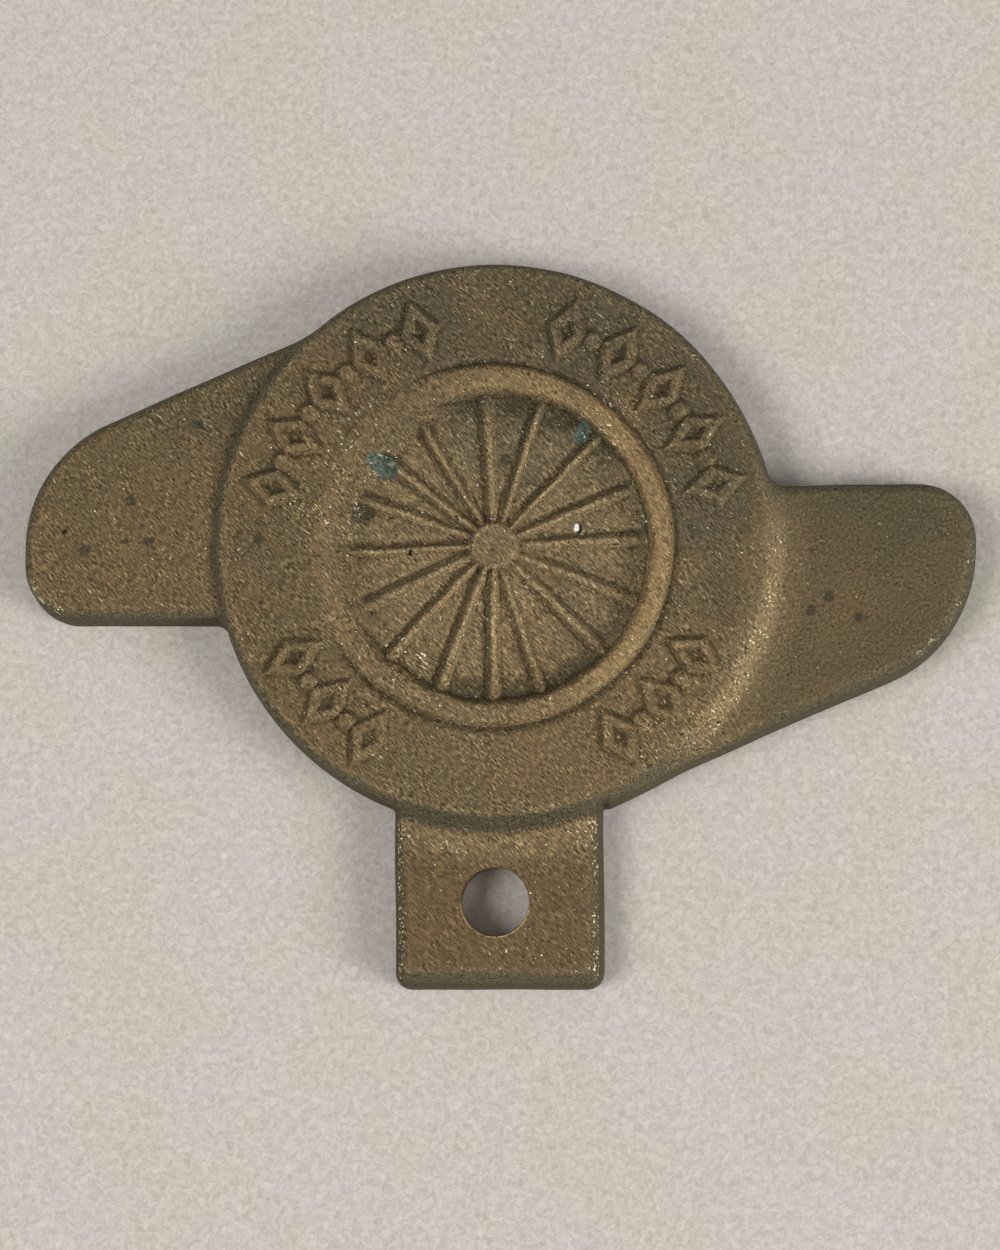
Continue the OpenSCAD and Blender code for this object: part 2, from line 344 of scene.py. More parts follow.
# %% A skin where the gap is zero
def skin(gap, low, high, step):
    x, y, z = (np.arange(low[axis], high[axis] + step, step) for axis in range(3))
    value = gap(x[:, None, None], y[None, :, None], z[None, None, :])
    inside = value < 0
    cells = tuple(n - 1 for n in value.shape)
    total, count = np.zeros(cells + (3,)), np.zeros(cells)
    crossings = []
    for axis in range(3):
        near_end, far_end = range(cells[axis]), range(1, cells[axis] + 1)
        start, end = np.take(value, near_end, axis), np.take(value, far_end, axis)
        crosses = np.take(inside, near_end, axis) != np.take(inside, far_end, axis)
        share = np.where(crosses, start / np.where(crosses, start - end, 1), 0)
        crossings.append(crosses)
        side, depth = (axis + 1) % 3, (axis + 2) % 3
        for side_shift, depth_shift in ((0, 0), (0, 1), (1, 0), (1, 1)):
            part = [slice(None)] * 3
            part[side] = slice(side_shift, side_shift + cells[side])
            part[depth] = slice(depth_shift, depth_shift + cells[depth])
            crossed = crosses[tuple(part)]
            count += crossed
            total[..., axis] += share[tuple(part)]
            total[..., side] += side_shift * crossed
            total[..., depth] += depth_shift * crossed
    used = count > 0
    number = np.full(cells, -1)
    number[used] = np.arange(used.sum())
    points = np.array(low) + step * (np.argwhere(used) + total[used] / count[used][:, None])
    faces = []
    for axis in range(3):
        side, depth = (axis + 1) % 3, (axis + 2) % 3
        at = np.argwhere(crossings[axis])
        within = (at[:, side] > 0) & (at[:, side] < cells[side])
        at = at[within & (at[:, depth] > 0) & (at[:, depth] < cells[depth])]
        corners = []
        for side_shift, depth_shift in ((1, 1), (0, 1), (0, 0), (1, 0)):
            cell = at.copy()
            cell[:, side] -= side_shift
            cell[:, depth] -= depth_shift
            corners.append(number[tuple(cell.T)])
        quad = np.stack(corners, axis=1)
        outward = inside[tuple(at.T)]
        faces += [quad[outward], quad[~outward][:, ::-1]]
    return slid_onto(gap, points, step), np.concatenate(faces)


def slid_onto(gap, points, step, rounds=3, probe=0.01):
    for _ in range(rounds):
        value = gap(*points.T)
        slope = np.stack([
            gap(*(points + probe * axis).T) - gap(*(points - probe * axis).T) for axis in np.eye(3)
        ], axis=1) / (2 * probe)
        steep = np.maximum((slope**2).sum(axis=1), 0.2)
        points = points - np.clip(value / steep, -step / 2, step / 2)[:, None] * slope
    return points


def ball_gap(x, y, z):
    return np.sqrt(x * x + y * y + z * z) - 2


ball_points, ball_faces = skin(ball_gap, (-3, -3, -3), (3, 3, 3), 0.5)
ball_r = np.linalg.norm(ball_points, axis=1)
print("a test ball of radius 2:", len(ball_faces), "faces, mean radius", ball_r.mean().round(3))

# %% [markdown]
# Each ear has a short edge that runs level, a long edge that leans like the body's tangent, and a tip with
# one small and one large corner. The left ear is the right one turned half round, but it is a little
# broader and its inside corner is tighter. Each ear's skin also takes in a thin layer just under the body's
# surface, so that its fillet thins out onto the body instead of stopping at a step.

# %% Ear outlines
ear_middle = np.array([0.3, -0.55])
ear_reach = right_tip - ear_middle[0]
ear_t = 5.0
edge_r = 1.1
inside_corner_r = {"left": 0.75, "right": 1.5}
tuck = 0.012
long_edge_d = 27.3
long_edge_slope = 23.5
long_corner_r, short_corner_r = 14, 5.8
short_edge_d = {"left": 7.2, "right": 6.4}
ear_root_x, ear_root_corner = 14, (6, -8)


def ear_outline(side):
    lean = math.radians(long_edge_slope)
    outward = np.array([math.sin(lean), -math.cos(lean)])
    long_x = ear_reach - long_corner_r
    long_y = (long_corner_r - long_edge_d + outward[0] * long_x) / -outward[1]
    short_mid = (ear_reach - short_corner_r, short_edge_d[side] - short_corner_r)
    outline = np.concatenate([
        [long_edge_d * outward],
        arc((long_x, long_y), long_corner_r, long_edge_slope - 90, 0, 24),
        arc(short_mid, short_corner_r, 0, 90, 16),
        [(ear_root_x, short_edge_d[side]), ear_root_corner],
    ])
    half_turn = -1 if side == "left" else 1
    return ear_middle + half_turn * outline


ear_outlines = {side: ear_outline(side) for side in ("left", "right")}
print("ear outline points:", {side: len(outline) for side, outline in ear_outlines.items()})

# %% Ears
tuck_reach = 2.2
tuck_in_r = body_r - 3.2
skin_step = 0.22
margin, below_back = 4 * skin_step, 0.03


def ear_gap(side, x, y, z):
    return pad_gap(outline_gap(ear_outlines[side], x, y), z, ear_t, edge_r)


def trimmed(whole, plan, x, y, z):
    near_plan = np.maximum(whole, plan - tuck_reach)
    return np.maximum(np.maximum(near_plan, -z), tuck_in_r - np.hypot(x, y))


def ear_piece_gap(side):
    def gap(x, y, z):
        body = body_gap(x, y, z)
        plan = outline_gap(ear_outlines[side], x, y)
        whole = soft_join(pad_gap(plan, z, ear_t, edge_r), body + tuck, inside_corner_r[side])
        return trimmed(whole, plan, x, y, z)
    return gap


ears = {}
for side, outline in ear_outlines.items():
    low = outline.min(axis=0) - tuck_reach - margin
    high = outline.max(axis=0) + tuck_reach + margin
    box = ((*low, -margin - below_back), (*high, band_z + margin))
    ears[side] = plain_piece(side + "_ear_casting", *skin(ear_piece_gap(side), *box, skin_step))

# %% [markdown]
# The lug is a plain rounded tab that was drilled after casting, so its hole is crisp while its outer edges
# are soft and its lower edge droops. Where the body rises from it the inside corner is broad, and down the
# walls it is tight.

# %% Mounting lug
lug_t = 4.6
lug_corner_r = 1.7
lug_plan_corner_r, lug_step_corner_r = 0.4, 1.6
lug_edge_r = 1.35
lug_droop, droop_start, droop_end = 0.7, 2.3, 0.3
lug_root_y = -20
step_corner_z = 3.2
hole_r = 3.3
hole_mid = np.array([0, -35.05])
hole_edge_r = 0.1
lug_low_x, lug_high_x = lug_box[0][0], lug_box[1][0]
lug_low_y = lug_box[0][1]

lug_outline = np.concatenate([
    [(lug_low_x, lug_root_y)],
    arc((lug_low_x + lug_corner_r, lug_low_y + lug_corner_r), lug_corner_r, 180, 270, 10),
    arc((lug_high_x - lug_corner_r, lug_low_y + lug_corner_r), lug_corner_r, 270, 360, 10),
    [(lug_high_x, lug_root_y)],
])


def lug_piece_gap(x, y, z):
    body = body_gap(x, y, z)
    plan = outline_gap(lug_outline, x, y)
    neighbours = soft_join(body, ear_gap("right", x, y, z), inside_corner_r["right"]) + tuck
    thick = lug_t - lug_droop * smooth_step(lug_low_y - y, -droop_start, -droop_end)
    on_step = smooth_step(z, step_corner_z, lug_t)
    fillet = lug_plan_corner_r + (lug_step_corner_r - lug_plan_corner_r) * on_step
    whole = soft_join(pad_gap(plan, z, thick, lug_edge_r), neighbours, fillet)
    drilled = soft_cut(whole, np.hypot(x - hole_mid[0], y - hole_mid[1]) - hole_r, hole_edge_r)
    return trimmed(drilled, plan, x, y, z)


lug_skin_step = 0.17
box = (
    (lug_low_x - 3, lug_low_y - 1, -4 * lug_skin_step - below_back),
    (lug_high_x + 3, lug_root_y, band_z + 1),
)
mounting_lug = plain_piece("mounting_lug_casting", *skin(lug_piece_gap, *box, lug_skin_step))

# %% [markdown]
# The wheel's relief and the border repeat a form or follow a circle, which is work for Geometry Nodes.
# Writing node trees by hand is long, so one small class wraps a socket: arithmetic on it adds Math nodes,
# and its one other method adds any node from its type, its settings and its inputs. The same class serves
# the material later.

# %% Node trees as arithmetic
class Wire:
    def __init__(self, socket):
        self.socket = socket

    @staticmethod
    def node(tree, kind, settings=None, inputs=None, output=None):
        made = tree.nodes.new(kind)
        for name, value in (settings or {}).items():
            setattr(made, name, value)
        for key, value in (inputs or {}).items():
            socket = made.inputs[key] if isinstance(key, int) else next(
                s for s in made.inputs if s.name == key and s.enabled)
            if isinstance(value, Wire):
                tree.links.new(value.socket, socket)
            else:
                socket.default_value = value
        if output is None:
            return Wire(next(s for s in made.outputs if s.enabled))
        return Wire(made.outputs[output])

    def math(self, operation, *others, first=None):
        values = (self,) + others if first is None else (first, self)
        tree = self.socket.id_data
        return Wire.node(tree, "ShaderNodeMath", {"operation": operation}, dict(enumerate(values)))

    def __add__(self, other): return self.math("ADD", other)
    def __radd__(self, other): return self.math("ADD", other)
    def __sub__(self, other): return self.math("SUBTRACT", other)
    def __rsub__(self, other): return self.math("SUBTRACT", first=other)
    def __mul__(self, other): return self.math("MULTIPLY", other)
    def __rmul__(self, other): return self.math("MULTIPLY", other)
    def __truediv__(self, other): return self.math("DIVIDE", other)
    def __rtruediv__(self, other): return self.math("DIVIDE", first=other)
    def __pow__(self, other): return self.math("POWER", other)
    def __rpow__(self, other): return self.math("POWER", first=other)
    def __abs__(self): return self.math("ABSOLUTE")
    def __neg__(self): return self.math("MULTIPLY", -1)
    def __gt__(self, other): return self.math("GREATER_THAN", other)
    def __lt__(self, other): return self.math("LESS_THAN", other)


def ramp(value, low, high):
    tree = value.socket.id_data
    return Wire.node(tree, "ShaderNodeMapRange", {"interpolation_type": "SMOOTHSTEP"},
                     {"Value": value, "From Min": low, "From Max": high})


def relief_tree(name, sizes):
    tree = bpy.data.node_groups.new(name, "GeometryNodeTree")
    tree.interface.new_socket(name="Geometry", in_out="INPUT", socket_type="NodeSocketGeometry")
    kinds = {int: "NodeSocketInt", float: "NodeSocketFloat"}
    for label, value in sizes.items():
        tree.interface.new_socket(name=label, in_out="INPUT", socket_type=kinds[type(value)])
    tree.interface.new_socket(name="Finish", in_out="INPUT", socket_type="NodeSocketMaterial")
    tree.interface.new_socket(name="Geometry", in_out="OUTPUT", socket_type="NodeSocketGeometry")
    entry = tree.nodes.new("NodeGroupInput")
    return tree, {socket.name: Wire(socket) for socket in entry.outputs if socket.name}


def end_tree(tree, shape, finish):
    real = Wire.node(tree, "GeometryNodeRealizeInstances", {}, {"Geometry": shape})
    done = Wire.node(tree, "GeometryNodeSetMaterial", {}, {"Geometry": real, "Material": finish})
    tree.links.new(done.socket, tree.nodes.new("NodeGroupOutput").inputs[0])


def grown_piece(name, tree, sizes, start_mesh, finish):
    worker = bpy.data.objects.new(name + "_start", start_mesh)
    bpy.context.scene.collection.objects.link(worker)
    modifier = worker.modifiers.new("relief", "NODES")
    modifier.node_group = tree
    values = dict(sizes, Finish=finish)
    for item in tree.interface.items_tree:
        if item.item_type == "SOCKET" and item.in_out == "INPUT" and item.name in values:
            modifier[item.identifier] = values[item.name]
    grown = bpy.data.meshes.new_from_object(worker.evaluated_get(bpy.context.evaluated_depsgraph_get()))
    points = np.empty(len(grown.vertices) * 3)
    grown.vertices.foreach_get("co", points)
    faces = [tuple(face.vertices) for face in grown.polygons]
    worker.modifiers.remove(modifier)
    bpy.data.objects.remove(worker)
    bpy.data.meshes.remove(grown)
    return plain_piece(name, points.reshape(-1, 3) + [*wheel_mid, 0], faces)


cast_brass = bpy.data.materials.new("patinated_cast_brass")
print("helpers ready, finish named", cast_brass.name)

# %% [markdown]
# The rim is a low, broad ring. Its section rises from the groove, rolls over a flat crown and sinks to the
# well's floor with a soft foot. The section is a closed loop of points, and the tree sweeps it round a
# circle. The well was cut a little to the lower right of the groove, so the tree then slides the ring's
# inner side over to the well's middle, with a slow noise that makes it uneven, and presses the crown down
# on the left, where only a faint swelling is left.

# %% Wheel rim
rim_half_w = 1.45
rim_mid_r = rim_r - rim_half_w
rim_edge_z = band_z - groove_drop
rim_foot_w = 0.65
rim_skirt = 0.06
crown_power = 3.4
foot_z = floor_z - gouge_depth
buried_z = floor_z - 0.5
section_r = np.linspace(rim_r - 2 * rim_half_w - rim_foot_w, rim_r + rim_skirt, 70)
from_mid = np.abs(section_r - rim_mid_r) / rim_half_w
crown = rim_edge_z + (crown_z - rim_edge_z) * (1 - np.minimum(from_mid, 1) ** crown_power)
foot = np.clip((section_r - section_r[0]) / rim_foot_w, 0, 1) ** 2
section_z = np.where(foot < 1, foot_z + (rim_edge_z - foot_z) * foot, crown)
section = list(zip(section_r - rim_mid_r, -section_z))
section += [(section_r[-1] - rim_mid_r, -buried_z), (section_r[0] - rim_mid_r, -buried_z)]
section_mesh = bpy.data.meshes.new("rim_section")
count = len(section)
section_mesh.from_pydata([(x, y, 0) for x, y in section], [(i, (i + 1) % count) for i in range(count)], [])

rim_sizes = {
    "Ring radius": float(rim_mid_r), "Ring steps": 512,
    "Outer radius": float(rim_r), "Inner radius": float(section_r[0]),
    "Outer right": float(groove_mid[0] - wheel_mid[0]), "Outer up": float(groove_mid[1] - wheel_mid[1]),
    "Inner right": float(well_mid[0] - wheel_mid[0]), "Inner up": float(well_mid[1] - wheel_mid[1]),
    "Band": float(band_z), "Half width": rim_half_w, "Soft crown": 0.18, "Bend": 0.9,
    "Soft side": soft_side, "Soft low": soft_low, "Soft high": soft_high,
}
rim_tree, rim_in = relief_tree("wheel_rim_sweep", rim_sizes)
rim_node = partial(Wire.node, rim_tree)


def at_position(tree):
    here = Wire.node(tree, "GeometryNodeInputPosition")
    return Wire.node(tree, "ShaderNodeSeparateXYZ", {}, {"Vector": here})


def output(wire, name):
    return Wire(wire.socket.node.outputs[name])


def vector(tree, x, y, z):
    return Wire.node(tree, "ShaderNodeCombineXYZ", {}, {"X": x, "Y": y, "Z": z})


rim_path = rim_node("GeometryNodeCurvePrimitiveCircle", {},
                    {"Resolution": rim_in["Ring steps"], "Radius": rim_in["Ring radius"]})
rim_section = rim_node("GeometryNodeMeshToCurve", {}, {"Mesh": rim_in["Geometry"]})
rim_swept = rim_node("GeometryNodeCurveToMesh", {}, {"Curve": rim_path, "Profile Curve": rim_section})
on_rim = at_position(rim_tree)
rim_x, rim_y = output(on_rim, "X"), output(on_rim, "Y")
rim_gap = (rim_x * rim_x + rim_y * rim_y) ** 0.5
inwards = (rim_in["Outer radius"] - rim_gap) / (rim_in["Outer radius"] - rim_in["Inner radius"])
to_soft = rim_in["Soft side"].math("COSINE") * rim_x + rim_in["Soft side"].math("SINE") * rim_y
above = (output(on_rim, "Z") - rim_in["Band"]).math("MAXIMUM", 0)
soft = ramp(to_soft / rim_gap, rim_in["Soft low"], rim_in["Soft high"])
off_ring = abs(rim_gap - rim_in["Ring radius"])
low_crown = rim_in["Soft crown"] * (1 - ramp(off_ring, 0.1, rim_in["Half width"]))
pressed = soft * (low_crown * (above > 0) - above)
rim_noise = rim_node("ShaderNodeTexNoise", {}, {"Scale": 0.5, "Detail": 2.0}, "Color")
rim_bend = rim_node("ShaderNodeSeparateXYZ", {}, {"Vector": rim_noise})


def slide_of(axis, way):
    outer, inner = rim_in["Outer " + way], rim_in["Inner " + way]
    return outer + (inner - outer + rim_in["Bend"] * (output(rim_bend, axis) - 0.5)) * inwards


rim_slide = vector(rim_tree, slide_of("X", "right"), slide_of("Y", "up"), pressed)
rim_slid = rim_node("GeometryNodeSetPosition", {}, {"Geometry": rim_swept, "Offset": rim_slide})
end_tree(rim_tree, rim_slid, rim_in["Finish"])
wheel_rim = grown_piece("wheel_rim_casting", rim_tree, rim_sizes, section_mesh, cast_brass)

# %% [markdown]
# The spokes were cut in the pattern by hand, so no two stand at quite the same angle or have quite the same
# width and height. One spoke is a fine block whose top is raised by a rule: a steep ridge with a narrow
# crest, widening towards the rim and rising with the floor towards the hub. The block is placed once on
# each of sixteen points, which carry each spoke's own angle, and slow noise then bends them all a little.

# %% Wheel spokes
spoke_points = bpy.data.meshes.new("spoke_points")
spoke_points.from_pydata([(0, 0, floor_z)] * spoke_count, [], [])
turn_data = spoke_points.attributes.new("spoke_angle", "FLOAT", "POINT")
turn_data.data.foreach_set("value", spoke_angles)

spoke_sizes = {
    "Inner end": float(hub_r - 0.8), "Outer end": float(rim_r - 2.4), "Hub width": 0.82, "Rim width": 1.3,
    "Height": 0.5, "Foot drop": 0.22, "Bend": 0.35, "Hub radius": float(hub_r), "Hub rise": hub_rise,
    "Hub rise radius": hub_rise_r, "Seed": 7,
}
spoke_tree, spoke_in = relief_tree("wheel_spoke_fan", spoke_sizes)
spoke_node, spoke_vector = partial(Wire.node, spoke_tree), partial(vector, spoke_tree)


def own(low, high, seed):
    return spoke_node("FunctionNodeRandomValue", {"data_type": "FLOAT"}, {2: low, 3: high, "Seed": seed}, 1)


spoke_len = spoke_in["Outer end"] - spoke_in["Inner end"]
block = spoke_node("GeometryNodeMeshCube", {}, {
    "Size": spoke_vector(spoke_len, 2.6 * spoke_in["Rim width"], 1.0),
    "Vertices X": 60, "Vertices Y": 33, "Vertices Z": 2})
place = at_position(spoke_tree)
along, across, lift = (output(place, axis) for axis in "XYZ")
share = along / spoke_len + 0.5
spread = 0.25 * ramp(share, 0.8, 1.0)
width = spoke_in["Hub width"] + (spoke_in["Rim width"] - spoke_in["Hub width"]) * (share + spread)
off_crest = abs(across) / (spoke_in["Rim width"] / 2)
out_from_hub = spoke_in["Inner end"] + spoke_len * share
rise = spoke_in["Hub rise"] * (1 - ramp(out_from_hub, spoke_in["Hub radius"], spoke_in["Hub rise radius"]))
whole_height = spoke_in["Height"] + spoke_in["Foot drop"]
ridge = whole_height * (1 - ramp(off_crest, 0.05, 1.7)) - spoke_in["Foot drop"] + rise
shaped = spoke_node("GeometryNodeSetPosition", {}, {
    "Geometry": block, "Selection": lift > 0,
    "Position": spoke_vector(along, across * width / spoke_in["Rim width"], ridge)})
seated = spoke_node("GeometryNodeTransform", {}, {
    "Geometry": shaped, "Translation": spoke_vector(spoke_in["Inner end"] + spoke_len / 2, 0, 0)})
angle = spoke_node("GeometryNodeInputNamedAttribute", {"data_type": "FLOAT"}, {"Name": "spoke_angle"})
own_width = own(0.8, 1.25, spoke_in["Seed"])
own_height = own(0.75, 1.1, spoke_in["Seed"] + 1)
fan = spoke_node("GeometryNodeInstanceOnPoints", {}, {
    "Points": spoke_node("GeometryNodeMeshToPoints", {}, {"Mesh": spoke_in["Geometry"]}),
    "Instance": seated, "Rotation": spoke_vector(0, 0, angle),
    "Scale": spoke_vector(1, own_width, own_height)})
spread_out = spoke_node("GeometryNodeRealizeInstances", {}, {"Geometry": fan})
bend_noise = spoke_node("ShaderNodeTexNoise", {}, {"Scale": 0.35, "Detail": 1.0}, "Color")
bend = spoke_node("ShaderNodeSeparateXYZ", {}, {"Vector": bend_noise})
bend_x, bend_y = ((output(bend, axis) - 0.5) * spoke_in["Bend"] for axis in "XY")
bent = spoke_node("GeometryNodeSetPosition", {}, {
    "Geometry": spread_out, "Offset": spoke_vector(bend_x, bend_y, 0)})
end_tree(spoke_tree, bent, spoke_in["Finish"])
wheel_spokes = grown_piece("wheel_spokes_casting", spoke_tree, spoke_sizes, spoke_points, cast_brass)

# %% [markdown]
# The hub is a small flat button at the wheel's middle, worn so soft that its top rolls over into a
# spreading foot. It is spun like the body.

# %% Wheel hub
hub_flat_r, hub_foot_r = 1.9, 3.4
hub_roll_r = np.linspace(hub_foot_r, hub_flat_r, 20)
hub_roll = foot_z + (hub_z - foot_z) * (1 - smooth_step(hub_roll_r, hub_flat_r, hub_foot_r))
hub_face = np.stack([np.linspace(hub_flat_r, 0, 8)[1:], np.full(7, hub_z)], axis=1)
hub_under = [(0, buried_z), (hub_foot_r, buried_z)]
hub_profile = np.concatenate([hub_under, np.stack([hub_roll_r, hub_roll], axis=1), hub_face])
wheel_hub = plain_piece("wheel_hub_casting", *spun(hub_profile, 128, wheel_mid))

# %% [markdown]
# Four borders of raised lozenges with pellets between them run round the band. One tree makes them all. A
# lozenge is a fine block whose top is raised by a rule on its distance from a lozenge-shaped frame, a
# pellet is one raised by its distance from the middle, and both stand on points along an arc. A slow noise
# then wears their height down unevenly.

# %% Borders
lozenge_len, lozenge_w, lozenge_frame = 5.77, 3.6, 0.8
rim_to_border = 1.5
border_r = rim_r + rim_to_border + lozenge_len / 2
pellet_d = 1.5
relief_h = 0.5
lozenge_pitch = 14
border_sizes = {
    "Lozenges": 5, "Middle": 0.0, "Pitch": math.radians(lozenge_pitch), "Arc radius": float(border_r),
    "Band": float(band_z), "Length": lozenge_len, "Width": lozenge_w, "Frame": lozenge_frame,
    "Pellet": pellet_d, "Height": relief_h, "Foot flare": 0.5, "Sink": tuck, "Wear": 0.35,
}
border_tree, border_in = relief_tree("lozenge_and_pellet_border", border_sizes)
border_node, border_vector = partial(Wire.node, border_tree), partial(vector, border_tree)


def raised_block(length, width, steps_x, steps_y, off_edge):
    raw = border_node("GeometryNodeMeshCube", {}, {
        "Size": border_vector(length, width, 1.0),
        "Vertices X": steps_x, "Vertices Y": steps_y, "Vertices Z": 2})
    place = at_position(border_tree)
    x, y, z = (output(place, axis) for axis in "XYZ")
    height = border_in["Height"] * (1 - ramp(off_edge(x, y), -0.22, border_in["Foot flare"]))
    return border_node("GeometryNodeSetPosition", {}, {
        "Geometry": raw, "Selection": z > 0, "Position": border_vector(x, y, height - border_in["Sink"])})


def off_lozenge_frame(x, y):
    tip, side = border_in["Length"] / 2, border_in["Width"] / 2
    per_share = tip * side / (tip * tip + side * side) ** 0.5
    off_outline = (abs(x) / tip + abs(y) / side - 1) * per_share
    return abs(off_outline + border_in["Frame"] / 2) - border_in["Frame"] / 2


def off_pellet(x, y):
    return (x * x + y * y) ** 0.5 - border_in["Pellet"] / 2


lozenge = raised_block(border_in["Length"] + 1, border_in["Width"] + 1, 72, 50, off_lozenge_frame)
pellet = raised_block(border_in["Pellet"] + 1, border_in["Pellet"] + 1, 24, 24, off_pellet)


def along_arc(count, first, shape):
    index = border_node("GeometryNodeInputIndex")
    spot = first + index * border_in["Pitch"]
    x, y = (border_in["Arc radius"] * spot.math(way) for way in ("COSINE", "SINE"))
    at = border_vector(x, y, border_in["Band"])
    points = border_node("GeometryNodePoints", {}, {"Count": count, "Position": at})
    return border_node("GeometryNodeInstanceOnPoints", {}, {
        "Points": points, "Instance": shape, "Rotation": border_vector(0, 0, spot)})


first_lozenge = border_in["Middle"] - (border_in["Lozenges"] - 1) / 2 * border_in["Pitch"]
lozenges = along_arc(border_in["Lozenges"], first_lozenge, lozenge)
pellets = along_arc(border_in["Lozenges"] - 1, first_lozenge + border_in["Pitch"] / 2, pellet)
both = border_node("GeometryNodeJoinGeometry", {}, {"Geometry": lozenges})
border_tree.links.new(pellets.socket, both.socket.node.inputs[0])
in_place = border_node("GeometryNodeRealizeInstances", {}, {"Geometry": both})
wear_noise = border_node("ShaderNodeTexNoise", {}, {"Scale": 0.3, "Detail": 1.0})
standing_over = (output(at_position(border_tree), "Z") - border_in["Band"]).math("MAXIMUM", 0)
worn_off = -border_in["Wear"] * ramp(wear_noise, 0.42, 0.68) * standing_over
worn_down = border_node("GeometryNodeSetPosition", {}, {
    "Geometry": in_place, "Offset": border_vector(0, 0, worn_off)})
end_tree(border_tree, worn_down, border_in["Finish"])

borders = {}
for node, lozenges_in_it, middle in (
        ("upper_left_border", 5, 137), ("upper_right_border", 5, 43),
        ("lower_left_border", 3, 223), ("lower_right_border", 3, -43)):
    sizes = dict(border_sizes, Lozenges=lozenges_in_it, Middle=math.radians(middle))
    empty = bpy.data.meshes.new("border_start")
    borders[node] = grown_piece(node + "_casting", border_tree, sizes, empty, cast_brass)

# %% [markdown]
# Old brass darkens where dirt settles and brightens where hands and cloths rub, and its hollows also get
# painted shade here. To know where that is, rays dropped on the finished pieces give a map of the badge's
# height. A point that stands above the blurred map round it is proud and gets rubbed, and a point below it is
# sheltered and keeps its dirt, with painted shade. Each piece stores these numbers on its points, with how
# far it faces sideways and which way, because walls and edges weather in their own way and slopes get painted
# light or shade by the way they face. Some places are marked by where they lie: the ledge on to the right ear
# and the top of the lug get a painted golden highlight, the rim's right half is warmer, outer edges that face
# the windows get painted glints, the gouges are kept for the well's painted shade, and the foot of the rim
# between the spokes, towards the top and the bottom of the wheel, is darker.

# %% Proud and sheltered places
map_step = 0.12
map_low = np.array([-50.0, -47.0])
map_span = (100, 78)
map_size = tuple(int(span / map_step) for span in map_span)
ray_start_z = 20
lowest_face_z = 3
close_r, wide_r = 0.3, 0.8
ledge_low_z, lug_ledge_half_w = 4.3, 10.5
dark_rim_foot_r = (12.7, 13.7, 14.5, 15.0)
warm_side = math.radians(25)


def height_map():
    points, faces, start = [], [], 0
    for piece in pieces:
        points += [tuple(v.co) for v in piece.data.vertices]
        faces += [tuple(start + i for i in face.vertices) for face in piece.data.polygons]
        start = len(points)
    tree = BVHTree.FromPolygons(points, faces)
    heights = np.zeros(map_size)
    down = Vector((0, 0, -1))
    for i in range(map_size[0]):
        for j in range(map_size[1]):
            x, y = (map_low + map_step * np.array([i, j])) * MM
            hit = tree.ray_cast(Vector((x, y, ray_start_z * MM)), down)[0]
            if hit:
                heights[i, j] = hit.z / MM
    return heights


def blurred(field, radius):
    freq_x = np.fft.fftfreq(field.shape[0], map_step)[:, None]
    freq_y = np.fft.rfftfreq(field.shape[1], map_step)[None, :]
    keep = np.exp(-2 * (np.pi * radius) ** 2 * (freq_x**2 + freq_y**2))
    return np.fft.irfft2(np.fft.rfft2(field) * keep, field.shape)


def surroundings(heights, radius):
    covered = (heights > lowest_face_z).astype(float)
    return blurred(heights * covered, radius) / np.maximum(blurred(covered, radius), 0.02)


def read_map(field, x, y):
    i = np.clip((x - map_low[0]) / map_step, 0, field.shape[0] - 1.001)
    j = np.clip((y - map_low[1]) / map_step, 0, field.shape[1] - 1.001)
    a, b = i.astype(int), j.astype(int)
    u, v = i - a, j - b
    low = field[a, b] * (1 - u) + field[a + 1, b] * u
    high = field[a, b + 1] * (1 - u) + field[a + 1, b + 1] * u
    return low * (1 - v) + high * v


def between(value, low, low_full, high_full, high):
    return smooth_step(value, low, low_full) * (1 - smooth_step(value, high_full, high))


# painted golden highlight on the step ledges that face the windows: on to the right ear, at the left ear's
# foot and above the lug
def ledge_highlight_at(x, y, z):
    r, angle = np.hypot(x, y), np.degrees(np.arctan2(y, x))
    ear_ledge = 0.55 * between(r, 23.6, 26.0, 28.6, 31.8) + 0.6 * between(r, 26.1, 27.2, 27.8, 29.0)
    ear_ledge *= between(angle, -56, -32, -4, 16)
    left_foot = 0.3 * between(r, 27.7, 28.3, 28.8, 29.8) * smooth_step(np.abs(angle), 160, 168)
    on_lug_side = (np.abs(x - ear_middle[0]) < lug_ledge_half_w) * (y < 0)
    lug_ledge = 0.75 * between(r, 28.2, 29.0, 29.6, 32) * on_lug_side
    return np.maximum(np.maximum(ear_ledge, lug_ledge), left_foot) * (z > ledge_low_z)


# the foot of the rim between the spokes, towards the top and the bottom of the wheel, is darker
def dark_rim_foot_at(x, y, z):
    r = np.hypot(x - well_mid[0], y - well_mid[1])
    angle = np.degrees(np.arctan2(y - well_mid[1], x - well_mid[0]))
    off, ahead = spoke_offsets(x, y)
    clear = smooth_step(np.where(ahead, np.abs(off), np.inf).min(axis=-1), 0.5, 1.1)
    dark_sectors = between(angle, -125, -100, -60, -40) + between(angle, 25, 50, 95, 115)
    return between(r, *dark_rim_foot_r) * dark_sectors * clear * (z < rim_edge_z)


